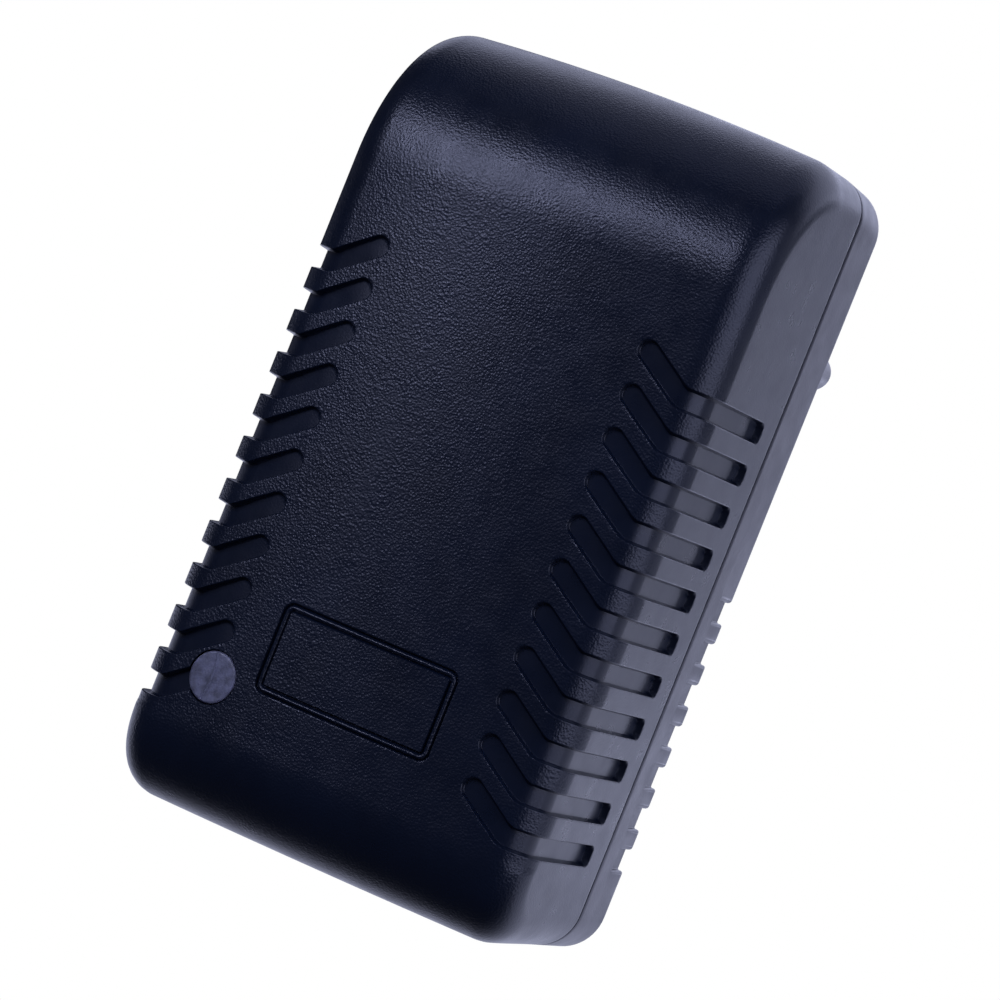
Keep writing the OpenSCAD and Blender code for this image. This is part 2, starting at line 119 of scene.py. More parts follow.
# Engraved frame: two fine lines with a bead between them
BADGE_Z = GROOVE_FIRST - 8.876 * PITCH
BADGE_HALF = (9.35, 4.53)
BADGE_ROUND = 1.1
BADGE_LINE = 0.93
BADGE_DEEP = 0.38
BADGE_REACH = 11.0
BADGE_WALL = 0.14  # share of the line's width that each wall takes
BEAD_HALF = 0.3
BEAD_FLAT = 0.7

# Indicator lens, and the ridge on it, which is part of a circle
LENS_X = (lens_low[0] + lens_high[0]) / 2
LENS_Z = (lens_low[2] + lens_high[2]) / 2
LENS_R = 2.5
LENS_GAP = 0.11
LENS_RIM = 0.24
LENS_SUNK = 0.04
RIDGE_R = 9.0
RIDGE_HALF = 0.1
RIDGE_HIGH = 0.12

JACK_GAP = 0.15

# Rear cover: its notches, shadow line, plug boss and screws
NOTCHES = 7
NOTCH_IN = 0.65
NOTCH_LONG = 4.0
NOTCH_SLIGHT = 0.35
NOTCH_FULL = 0.55
SEAM_GAP = 0.25
SEAM_DEEP = 0.45
RIM_ROUND = 0.3
BOSS_HALF_W = 17.65
BOSS_HALF_T = 6.85
BOSS_TIP = 1.8
BOSS_EDGE = 1.6
BOSS_END = 0.8
SCREWS = [(side * 15.5, z) for side in (-1, 1) for z in (10.9, -40.5)]
SCREW_POST_R = 4.0
SCREW_BORE_R = 2.8
SCREW_BORE_DEEP = 2.4

# ---------------------------------------------------------------- looks and viewpoint, in millimetres

CASE_COLOUR = (0.0028, 0.0058, 0.0155)
CASE_ROUGH = 0.3
CASE_SPECULAR = 0.5
CASE_TINT = (0.86, 0.88, 1.0)
COVER_COLOUR = (0.027, 0.027, 0.036)
COVER_ROUGH = 0.34
PEBBLE = 0.23
PEBBLE_HIGH = 0.026
GRAIN_GROOVE = 0.18  # strength of the grain in a groove, and on the side wall, against that on the front
GRAIN_SIDE = 0.35
LENS_COLOUR = (0.2, 0.21, 0.31)

LIGHT_COLOUR = (0.80, 0.84, 1.14)
PANEL_FAR = 700.0  # distance of every light panel from the middle of the case
CENTRE = Vector((0.0, -32.0, -22.0))
ROOM_LIGHT = 0.03
FLOOR_HALF = 1200.0
FLOOR_DROP = 50.0
FLOOR_DIM, FLOOR_LIT = 0.04, 0.95  # the floor's glow in front of these two places and behind them
FLOOR_DIM_Y, FLOOR_LIT_Y = -40.0, 30.0

CAMERA_AZIMUTH, CAMERA_ELEVATION, CAMERA_ROLL = 19.81, 0.71, 21.91
CAMERA_LENS = 155.2
CAMERA_FAR = 394.5
CAMERA_TARGET = (6.60, -47.5, -23.28)


# ---------------------------------------------------------------- mesh helpers


def smooth(t):
    """Eases from 0 to 1 as t goes from 0 to 1."""
    t = np.clip(t, 0.0, 1.0)
    return t * t * (3 - 2 * t)


def new_object(name, points, faces, sharp_deg=40.0):
    """A mesh object from points in millimetres."""
    mesh = bpy.data.meshes.new(name)
    mesh.from_pydata((np.asarray(points, float) * MM).tolist(), [], faces)
    mesh.validate()
    shape = bmesh.new()
    shape.from_mesh(mesh)
    bmesh.ops.recalc_face_normals(shape, faces=shape.faces)
    shape.to_mesh(mesh)
    shape.free()
    mesh.shade_smooth()
    mesh.set_sharp_from_angle(angle=math.radians(sharp_deg))
    obj = bpy.data.objects.new(name, mesh)
    bpy.context.scene.collection.objects.link(obj)
    return obj


def grid_faces(rows, columns, offset=0, flip=False):
    """Quads of a grid of points stored row by row."""
    r, c = np.meshgrid(np.arange(rows - 1), np.arange(columns - 1), indexing="ij")
    a = offset + r * columns + c
    quads = np.stack([a, a + 1, a + columns + 1, a + columns], -1).reshape(-1, 4)
    return quads[:, ::-1].tolist() if flip else quads.tolist()


def boolean(obj, cutter, operation):
    """Applies a boolean of the cutter to the object, and removes the cutter."""
    step = obj.modifiers.new(operation, "BOOLEAN")
    step.object = cutter
    step.operation = operation
    step.solver = "MANIFOLD"
    graph = bpy.context.evaluated_depsgraph_get()
    made = bpy.data.meshes.new_from_object(obj.evaluated_get(graph))
    obj.modifiers.clear()
    obj.data = made
    bpy.data.objects.remove(cutter)


def loft(name, loops, sharp_deg=40.0):
    """A closed solid through loops of the same number of points, capped at both ends."""
    count = len(loops[0])
    points = [p for loop in loops for p in loop]
    faces = []
    for k in range(len(loops) - 1):
        for i in range(count):
            j = (i + 1) % count
            faces.append((k * count + i, k * count + j, (k + 1) * count + j, (k + 1) * count + i))
    faces.append(tuple(range(count))[::-1])
    last = (len(loops) - 1) * count
    faces.append(tuple(last + i for i in range(count)))
    return new_object(name, points, faces, sharp_deg)


def arc_points(cx, cz, r, a0, a1, n):
    """Points (x, z) along an arc, from one angle to the other in n steps."""
    angles = np.radians(np.linspace(a0, a1, n + 1))
    return [(cx + r * math.cos(a), cz + r * math.sin(a)) for a in angles]


def spread(*spans):
    """Positions from (start, end, step) spans joined end to end."""
    out = []
    for start, end, step in spans:
        n = max(1, round(abs(end - start) / step))
        out += list(np.linspace(start, end, n + 1)[:-1])
    return np.array(out + [spans[-1][1]])


def crown_depth(x, radius=FRONT_CROWN):
    """How far a crowned face has fallen back at a distance x from its middle."""
    return radius - np.sqrt(radius * radius - x * x)


# ---------------------------------------------------------------- front shell

SLOPE = math.atan2(BEND_DROP, BEND_X - GROOVE_INNER)


def groove_drop(x):
    """How far a groove's centreline has come down at a distance x from the middle."""
    slant = (np.maximum(x, SLANT_FROM) - GROOVE_INNER) * math.tan(SLOPE)
    h = np.clip(0.5 + 0.5 * (BEND_DROP - slant) / BEND_SOFT, 0, 1)
    return BEND_DROP * (1 - h) + slant * h - BEND_SOFT * h * (1 - h)


def groove_half(x):
    """Half of a groove's height at a distance x from the middle, measured straight up."""
    slanted = 1 - smooth((x - (BEND_X - BEND_HALF)) / (2 * BEND_HALF))
    return GROOVE_HALF * (1 + (1 / math.cos(SLOPE) - 1) * slanted)


def rounded_edge(dx, dz):
    """Distance outside a rounded rectangle whose corner arcs are centred where dx and dz are 0."""
    return np.hypot(np.maximum(dx, 0), np.maximum(dz, 0)) + np.minimum(np.maximum(dx, dz), 0)


def groove_edge(x, y, z):
    """Distance outside the nearest groove's edge, negative inside, for points on the skin."""
    x = np.abs(x)
    best = np.full(x.shape, 9.0)
    line_x = np.concatenate([[GROOVE_INNER], np.arange(17.5, 19.71, 0.1), [30.0]])
    line_z = -groove_drop(line_x)
    nearest = np.clip(np.round((GROOVE_FIRST - groove_drop(x) - z) / PITCH), 0, GROOVES - 1)
    for shift in (-1, 0, 1):
        i = np.clip(nearest + shift, 0, GROOVES - 1)
        top = GROOVE_FIRST - i * PITCH
        for j in range(len(line_x) - 1):
            ax, az = line_x[j], line_z[j]
            dx, dz = line_x[j + 1] - ax, line_z[j + 1] - az
            t = np.clip(((x - ax) * dx + (z - top - az) * dz) / (dx * dx + dz * dz), 0, 1)
            d = np.hypot(x - ax - t * dx, z - top - az - t * dz) - GROOVE_HALF
            best = np.minimum(best, d)
    i = np.clip(np.round((GROOVE_FIRST - BEND_DROP - z) / PITCH), 0, GROOVES - 1)
    level = GROOVE_FIRST - i * PITCH - BEND_DROP
    past_end = y - (GROOVE_END - GROOVE_END_ROUND)
    past_half = np.abs(z - level) - (GROOVE_HALF - GROOVE_END_ROUND)
    end = rounded_edge(past_end, past_half) - GROOVE_END_ROUND
    return np.where((x > SIDE_WALL_X) & (y > SIDE_WALL_Y), np.maximum(best, end), best)


def badge_depth(x, z):
    """Depth of the engraved frame: two fine lines with a bead between them."""
    past_x = np.abs(x) - (BADGE_HALF[0] - BADGE_ROUND)
    past_z = np.abs(z - BADGE_Z) - (BADGE_HALF[1] - BADGE_ROUND)
    inside = BADGE_ROUND - rounded_edge(past_x, past_z)
    across = np.clip(inside / BADGE_LINE, 0, 1)
    trough = smooth(across / BADGE_WALL) * smooth((1 - across) / BADGE_WALL)
    bead = np.clip(1 - ((across - 0.5) / BEAD_HALF) ** 2, 0, 1) ** BEAD_FLAT
    return BADGE_DEEP * trough * (1 - bead)


def spaced_by_density(low, high, count, centres, width, gain):
    """Positions from high down to low, packed more closely round the centres."""
    z = np.linspace(high, low, 4001)
    density = np.ones_like(z)
    for c in centres:
        density += gain * smooth(1.6 - np.abs(z - c) / width)
    total = np.concatenate([[0], np.cumsum((density[1:] + density[:-1]) / 2)])
    return np.interp(np.linspace(0, total[-1], count), total, z)


def shell_rows():
    """Row parameters along the side profile, from the top of the seam round the front to its bottom."""
    lip = Y_SEAM - np.array([0, 0.03, 0.08, 0.16])
    top = np.linspace(Y_SEAM - 0.6, Y_FRONT + TOP_ROLL, 12)
    under = np.linspace(Y_FRONT + BOTTOM_ROUND, Y_SEAM - 0.6, 16)
    rows = [("top", y) for y in np.concatenate([lip, top])]
    rows += [("roll", a) for a in np.linspace(90, 0, 40)[1:-1]]
    rows += [("front", k) for k in range(len(front_levels()[0]))]
    rows += [("low", a) for a in np.linspace(0, -90, 16)[1:-1]]
    rows += [("under", y) for y in np.concatenate([under, lip[::-1]])]
    return rows


def front_levels():
    """What each row of the front follows, as (kind, value), and its height near the middle of the front.
    Rows are packed closely where a groove's wall lies, in half widths from the groove's middle."""
    half_t = np.array([0, .2, .36, .48, .58, .67, .75, .81, .86, .9, .94, .975, 1.01, 1.05, GROOVE_MARGIN])
    t_down = np.concatenate([half_t[::-1], -half_t[1:]])
    codes = [("above", f) for f in np.linspace(0, 1, 14)[:-1]]
    for i in range(GROOVES):
        codes += [(i, t) for t in t_down]
        if i < GROOVES - 1:
            codes += [("land", (i, f)) for f in (0.2, 0.4, 0.6, 0.8)]
    codes += [("below", f) for f in np.linspace(0, 1, 9)[1:]]
    badge_lines = (BADGE_Z + BADGE_HALF[1] - 0.5, BADGE_Z - BADGE_HALF[1] + 0.5)
    mid = spaced_by_density(Z_BOTTOM + BOTTOM_ROUND, Z_TOP - TOP_ROLL, len(codes), badge_lines, 0.8, 1.6)
    return codes, mid


def front_z(codes, mid, x):
    """Heights of the front rows at each distance x from the middle, rows first."""
    x = np.asarray(x, float)
    half_groove = groove_half(x)
    centre = GROOVE_FIRST - groove_drop(x)
    high = Z_TOP - TOP_ROLL
    low = Z_BOTTOM + BOTTOM_ROUND
    edge = GROOVE_MARGIN * half_groove
    out = np.zeros((len(codes), len(x)))
    for k, (kind, value) in enumerate(codes):
        if kind == "above":
            out[k] = high + (centre + edge - high) * value
        elif kind == "below":
            last = centre - (GROOVES - 1) * PITCH - edge
            out[k] = last + (low - last) * value
        elif kind == "land":
            i, f = value
            a = centre - i * PITCH - edge
            out[k] = a + (centre - (i + 1) * PITCH + edge - a) * f
        else:
            out[k] = centre - kind * PITCH + value * half_groove
    weight = smooth((x - 9.7) / 3.2)
    return out * weight + mid[:, None] * (1 - weight)


def shell_columns():
    """Column parameters on one side: distance from the middle, then share of the fillet, then of the side
    wall, packed closely at the badge lines, the groove tips, the groove ends and the seam."""
    crown = spread((0, 8.1, 1.2), (8.1, 9.5, 0.07), (9.5, 13.05, 0.6), (13.05, 13.6, 0.05),
                   (13.6, 14.7, 0.1), (14.7, 15.3, 0.3))
    fillet = np.concatenate([np.linspace(0, 0.22, 5), np.linspace(0.22, 0.42, 10)[1:],
                             np.linspace(0.42, 1, 13)[1:]])
    wall = np.concatenate([np.linspace(0, 0.66, 9)[1:], np.linspace(0.66, 0.715, 4)[1:],
                           np.linspace(0.715, 0.797, 12)[1:], np.linspace(0.797, 0.98, 5)[1:],
                           [0.9912, 0.9956, 0.9984, 1.0]])
    return crown, fillet, wall


def shell_skin():
    """Outer skin of the front shell without its grooves: points and outward normals."""
    codes, mid = front_levels()
    rows = shell_rows()
    crown, fillet, wall = shell_columns()
    nc, nf, nw = len(crown), len(fillet), len(wall)
    count = nc + nf + nw
    points = np.zeros((len(rows), count, 3))
    normals = np.zeros((len(rows), count, 3))
    front_x = HALF - SIDE_LEAN
    z_roll = Z_TOP - TOP_ROLL
    z_low = Z_BOTTOM + BOTTOM_ROUND
    crown_start = math.asin((front_x - SIDE_ROUND) / (FRONT_CROWN - SIDE_ROUND))
    crown_reach = FRONT_CROWN * math.sin(crown_start)

    def place(k, y0, z0, ny, nz, r, curve, target):
        """One row: a crowned line, a fillet of radius r and the side wall. The row's middle is at y0, z0, its
        inward normal there is ny, nz, and curve is one over the crown's radius. z0 may be a number or one
        value per column. The side wall ends at the height target, or level if that is None."""
        z0 = np.broadcast_to(z0, (count,))
        big = 1 / curve
        half = front_x + SIDE_LEAN * 0.3
        for _ in range(3):
            depth = big - math.sqrt((big - r) ** 2 - (half - r) ** 2)
            y_end = y0 + ny * depth
            half = front_x + SIDE_LEAN * (y_end - Y_FRONT) / (Y_SEAM - Y_FRONT)
        start = math.asin((half - r) / (big - r))
        x = crown * (big * math.sin(start)) / crown_reach
        fallen = crown_depth(x, big)
        points[k, :nc] = np.stack([x, y0 + ny * fallen, z0[:nc] + nz * fallen], -1)
        angle = start + (math.pi / 2 - start) * fillet
        fillet_x = half - r + r * np.sin(angle)
        fallen = depth - r * np.cos(angle)
        points[k, nc:nc + nf] = np.stack([fillet_x, y0 + ny * fallen, z0[nc:nc + nf] + nz * fallen], -1)
        end = points[k, nc + nf - 1]
        last = np.array([HALF, Y_SEAM, end[2] if target is None else target])
        points[k, nc + nf:] = end + wall[:, None] * (last - end)
        if target is None:
            points[k, nc + nf:, 2] = z0[nc + nf:]
        tilt = np.concatenate([np.arcsin(x / big), angle])
        normals[k, :nc + nf] = np.stack([np.sin(tilt), -ny * np.cos(tilt), -nz * np.cos(tilt)], -1)
        normals[k, nc + nf:] = (1, -SIDE_LEAN / (Y_SEAM - Y_FRONT), 0)

    upper = [k for k, (kind, _) in enumerate(rows) if kind in ("top", "roll")]
    lower = [k for k, (kind, _) in enumerate(rows) if kind in ("low", "under")]
    fillet_angle = crown_start * (1 - fillet) + math.pi / 2 * fillet
    column_x = np.concatenate([crown, front_x - SIDE_ROUND + SIDE_ROUND * np.sin(fillet_angle),
                               np.full(nw, HALF)])
    levels = front_z(codes, mid, column_x)
    top_seam_z = Z_TOP - CORNER_TOP - SEAM_TOP_IN
    low_seam_z = Z_BOTTOM + CORNER_SEAM + SEAM_LOW_IN
    corner_roll = CORNER_TOP + CORNER_OPENS
    for k, (kind, v) in enumerate(rows):
        down_share = (k - upper[0]) / len(upper)
        low_share = (k - lower[0] + 1) / len(lower)
        top_target = top_seam_z + (z_roll - top_seam_z) * down_share
        low_target = z_low + (low_seam_z - z_low) * low_share
        if kind == "top":
            f = (Y_SEAM - v) / (Y_SEAM - Y_FRONT - TOP_ROLL)
            place(k, v, Z_TOP, 0.0, -1.0, CORNER_TOP + CORNER_OPENS * f, 1 / TOP_ARCH, top_target)
        elif kind == "roll":
            a = math.radians(v)
            f = float(smooth(1 - v / 90))
            place(k, Y_FRONT + TOP_ROLL * (1 - math.cos(a)), z_roll + TOP_ROLL * math.sin(a),
                  math.cos(a), -math.sin(a), corner_roll + (SIDE_ROUND - corner_roll) * f,
                  (1 - f) / TOP_ARCH + f / FRONT_CROWN, top_target)
        elif kind == "front":
            f = float(smooth((levels[v, -1] - LOW_CORNER_FROM) / LOW_CORNER_OVER + 1))
            place(k, Y_FRONT, levels[v], 1.0, 0.0,
                  CORNER_LOW + (SIDE_ROUND - CORNER_LOW) * f, 1 / FRONT_CROWN, None)
        elif kind == "low":
            a = math.radians(v)
            f = float(smooth(-v / 90))
            place(k, Y_FRONT + BOTTOM_ROUND * (1 - math.cos(a)), z_low + BOTTOM_ROUND * math.sin(a),
                  math.cos(a), -math.sin(a), CORNER_LOW,
                  (1 - f) / FRONT_CROWN + f / BOTTOM_ARCH, low_target)
        else:
            f = float(smooth((v - Y_FRONT - BOTTOM_ROUND) / (Y_SEAM - Y_FRONT - BOTTOM_ROUND)))
            place(k, v, Z_BOTTOM, 0.0, 1.0, CORNER_LOW + (CORNER_SEAM - CORNER_LOW) * f,
                  1 / BOTTOM_ARCH, low_target)
    mirror = np.array([-1, 1, 1])
    return (np.concatenate([points[:, :0:-1] * mirror, points], 1),
            np.concatenate([normals[:, :0:-1] * mirror, normals], 1))


def relief_depth(x, y, z):
    """How far the skin is sunk by the grooves, the engraved frame and the rounded lip at the seam."""
    side = smooth((y - Y_FRONT - 4) / 12)
    front = GROOVE_DEEP_TIP + (GROOVE_DEEP_FRONT - GROOVE_DEEP_TIP) * smooth((np.abs(x) - 13.5) / 6)
    deep = front + (GROOVE_DEEP_SIDE - front) * side
    depth = deep * smooth((GROOVE_LIP - groove_edge(x, y, z)) / GROOVE_WALL)
    on_face = (np.abs(x) < BADGE_REACH) & (y < Y_FRONT + 2)
    depth = depth + np.where(on_face, badge_depth(x, z), 0)
    lip = np.clip((y - (Y_SEAM - SEAM_LIP)) / SEAM_LIP, 0, 1)
    return depth + SEAM_LIP * (1 - np.sqrt(1 - lip * lip))


def shell_faces(rows, columns, pick_r, pick_c):
    """Faces of the fine outer skin, of the coarser inner one, and of the flat edge that joins them."""
    nr, nc = len(pick_r), len(pick_c)
    offset = rows * columns
    faces = grid_faces(rows, columns) + grid_faces(nr, nc, offset, flip=True)

    def outer(r, c):
        return r * columns + c

    def inner(i, j):
        return offset + i * nc + j

    for j in range(nc - 1):
        c0, c1 = pick_c[j], pick_c[j + 1]
        faces.append([outer(0, c) for c in range(c1, c0 - 1, -1)] + [inner(0, j), inner(0, j + 1)])
        faces.append([outer(rows - 1, c) for c in range(c0, c1 + 1)]
                     + [inner(nr - 1, j + 1), inner(nr - 1, j)])
    for i in range(nr - 1):
        r0, r1 = pick_r[i], pick_r[i + 1]
        faces.append([outer(r, 0) for r in range(r0, r1 + 1)] + [inner(i + 1, 0), inner(i, 0)])
        faces.append([outer(r, columns - 1) for r in range(r1, r0 - 1, -1)]
                     + [inner(i, nc - 1), inner(i + 1, nc - 1)])
    return faces


def every(step, count):
    """Indices 0, step, 2 * step and so on, with the last one always in."""
    return sorted(set(range(0, count, step)) | {count - 1})


def build_front_shell():
    """The front shell as one closed wall, with its lens hole and the windows for the two jacks."""
    base, normal = shell_skin()
    outer = base - normal * relief_depth(base[..., 0], base[..., 1], base[..., 2])[..., None]
    rows, columns = base.shape[:2]
    pick_r, pick_c = every(6, rows), every(4, columns)
    picked = np.ix_(pick_r, pick_c)
    inner = (base - normal * WALL)[picked]
    inner[..., 1] = np.where(base[picked][..., 1] > Y_SEAM - 0.01, Y_SEAM, inner[..., 1])
    points = np.concatenate([outer.reshape(-1, 3), inner.reshape(-1, 3)])
    case = new_object("front_case", points, shell_faces(rows, columns, pick_r, pick_c))
    lens_hole = cylinder("lens_hole", LENS_X, LENS_Z, LENS_R + LENS_GAP, Y_FRONT - 1, Y_FRONT + 5, 96)
    boolean(case, lens_hole, "DIFFERENCE")
    for jack in ("lan_jack", "poe_jack"):
        low, high = box_mm(jack)
        x0, x1 = low[0] - JACK_GAP, high[0] + JACK_GAP
        z0, z1 = Z_BOTTOM - 1, Z_BOTTOM + WALL + 2
        window = prism("window", [(x0, z0), (x1, z0), (x1, z1), (x0, z1)], low[1] - JACK_GAP, Y_SEAM + 1)
        boolean(case, window, "DIFFERENCE")
    case.data.shade_smooth()
    case.data.set_sharp_from_angle(angle=math.radians(40))
    set_grain(case)
    return case


def set_grain(case):
    """Stores how strongly the moulded grain shows: fully on the front, weakly in grooves and on the sides."""
    at = np.zeros(len(case.data.vertices) * 3, np.float32)
    case.data.vertices.foreach_get("co", at)
    x, y, z = at.reshape(-1, 3).T / MM
    land = smooth((groove_edge(x, y, z) + 0.1) / 0.2)
    side = smooth((y - Y_FRONT - 2.5) / 3) * smooth((np.abs(x) - 18) / 2.5)
    grain = (GRAIN_GROOVE + (1 - GRAIN_GROOVE) * land) * (1 - (1 - GRAIN_SIDE) * side)
    layer = case.data.attributes.new("grain", "FLOAT", "POINT")
    layer.data.foreach_set("value", grain.astype(np.float32))


# ---------------------------------------------------------------- rear cover


def outline(inset, r_top, r_low):
    """Case outline seen from the front, brought in by inset: an arched top, straight sides and base."""
    half = HALF - inset
    right = []
    for sign, end, r, big in ((1, Z_TOP - inset, r_top - inset, TOP_ARCH),
                              (-1, Z_BOTTOM + inset, r_low - inset, BOTTOM_ARCH)):
        depth = big - math.sqrt((big - r) ** 2 - (half - r) ** 2)
        start = math.degrees(math.asin((half - r) / (big - r)))
        part = arc_points(0, end - sign * big, big, sign * 90, sign * (90 - start), 16)
        part += arc_points(half - r, end - sign * depth, r, sign * (90 - start), 0, 14)[1:]
        right += part if sign > 0 else part[:0:-1]
    return right + [(-x, z) for x, z in right[::-1] if x > 0.001]


def ring(points, y):
    """A flat x, z outline at a depth y."""
    return [(x, y, z) for x, z in points]


def prism(name, profile, y0, y1):
    """A solid with an x, z profile between two depths."""
    return loft(name, [ring(profile, y0), ring(profile, y1)])


def cylinder(name, x, z, r, y0, y1, n=64):
    """A round bar along Y."""
    return prism(name, arc_points(x, z, r, 0, 360 - 360 / n, n - 1), y0, y1)


def boss_profile(inset):
    """Six-sided boss outline with round 45 degree tips."""
    half_t = BOSS_HALF_T - inset
    tip = BOSS_TIP - inset
    cx = BOSS_HALF_W - BOSS_TIP
    sharp = cx + tip * math.sqrt(2)
    r = BOSS_EDGE - inset
    kx = sharp - half_t - r * math.tan(math.radians(22.5))
    right = arc_points(kx, half_t - r, r, 90, 45, 6)
    right += arc_points(cx, 0, tip, 45, -45, 12)
    right += arc_points(kx, r - half_t, r, -45, -90, 6)
    return right + [(-x, -z) for x, z in right]


def notch_profile(side, z):
    """Opening of one notch: its upper rib edge well rounded and its lower one slightly."""
    inner, outer = HALF - NOTCH_IN, HALF
    high, low = z + GROOVE_HALF, z - GROOVE_HALF
    points = [(inner, low + 0.1), (inner + 0.1, low)]
    points += arc_points(outer - NOTCH_SLIGHT, low - NOTCH_SLIGHT, NOTCH_SLIGHT, 90, 0, 5)
    points += [(outer + 1, low - NOTCH_SLIGHT), (outer + 1, high + NOTCH_FULL)]
    points += arc_points(outer - NOTCH_FULL, high + NOTCH_FULL, NOTCH_FULL, 0, -90, 7)
    points += [(inner + 0.05, high), (inner, high - 0.05)]
    return points if side > 0 else [(-x, zz) for x, zz in points[::-1]]


def cover_shell():
    """The cover's wall: an open cup whose rim steps in at the seam, where it leaves a shadow line."""
    loops = []

    def add(y, inset):
        share = (y - Y_SEAM) / (Y_BACK - Y_SEAM)
        corner = CORNER_TOP + (CORNER_BACK - CORNER_TOP) * share
        loops.append(ring(outline(inset, corner, CORNER_SEAM), y))

    add(Y_BACK - WALL, WALL)
    add(Y_SEAM, WALL)
    add(Y_SEAM, SEAM_DEEP)
    add(Y_SEAM + SEAM_GAP - 0.06, SEAM_DEEP)
    for inset, dy in ((0.1, 0), (0.03, 0.02), (0, 0.08)):
        add(Y_SEAM + SEAM_GAP - 0.04 + dy, inset)
    for y in np.linspace(Y_SEAM + 1, Y_BACK - 0.6, 7):
        add(y, 0)
    for t in np.radians(np.linspace(0, 90, 7)):
        add(Y_BACK - RIM_ROUND * (1 - math.sin(t)), RIM_ROUND * (1 - math.cos(t)))
    return loft("rear_case", loops)


def plug_boss():
    """The boss that carries the plug pins, with a rounded end."""
    loops = [ring(boss_profile(0), y) for y in (Y_BACK - 1, Y_PLUG - BOSS_END)]
    for t in np.radians(np.linspace(15, 90, 6)):
        inset = BOSS_END * (1 - math.cos(t))
        loops.append(ring(boss_profile(inset), Y_PLUG - BOSS_END * (1 - math.sin(t))))
    return loft("boss", loops)


def build_cover():
    cover = cover_shell()
    for x, z in SCREWS:
        boolean(cover, cylinder("post", x, z, SCREW_POST_R, Y_SEAM + 1.6, Y_BACK - 1), "UNION")
    boolean(cover, plug_boss(), "UNION")
    for x, z in SCREWS:
        bore = cylinder("bore", x, z, SCREW_BORE_R, Y_BACK - SCREW_BORE_DEEP, Y_BACK + 1)
        boolean(cover, bore, "DIFFERENCE")
    for side in (-1, 1):
        for i in range(GROOVES - NOTCHES, GROOVES):
            z = GROOVE_FIRST - i * PITCH - BEND_DROP
            notch = prism("notch", notch_profile(side, z), Y_BACK - NOTCH_LONG, Y_BACK + 1)
            boolean(cover, notch, "DIFFERENCE")
    cover.data.shade_smooth()
    cover.data.set_sharp_from_angle(angle=math.radians(28))
    return cover


# ---------------------------------------------------------------- indicator lens


def build_lens():
    """A flush disc that follows the crown, with a rounded rim, a faint moulded ridge and its light pipe."""
    turns = np.radians(np.linspace(0, 360, 97)[:-1])
    rim_start = LENS_R - LENS_RIM
    rim = rim_start + LENS_RIM * np.sin(np.radians((18, 36, 54, 72, 90)))
    radii = np.concatenate([np.linspace(0.05, rim_start, 26), rim])
    loops = []
    for r in radii:
        x, z = LENS_X + r * np.cos(turns), LENS_Z + r * np.sin(turns)
        past_rim = max(r - LENS_R + LENS_RIM, 0)
        rounding = LENS_RIM - math.sqrt(max(LENS_RIM**2 - past_rim**2, 0))
        off_ridge = np.hypot(x - LENS_X + RIDGE_R, z - LENS_Z) - RIDGE_R
        ridge = RIDGE_HIGH * np.exp(-((off_ridge / RIDGE_HALF) ** 2))
        y = Y_FRONT + LENS_SUNK + crown_depth(x) + rounding - ridge
        loops.append(np.stack([x, y, z], -1))
    for y, r in ((lens_high[1] - 0.1, LENS_R), (lens_high[1], LENS_R - 0.1)):
        x, z = LENS_X + r * np.cos(turns), LENS_Z + r * np.sin(turns)
        loops.append(np.stack([x, np.full_like(x, y), z], -1))
    return loft("indicator_lens", loops, 50)


# ---------------------------------------------------------------- materials


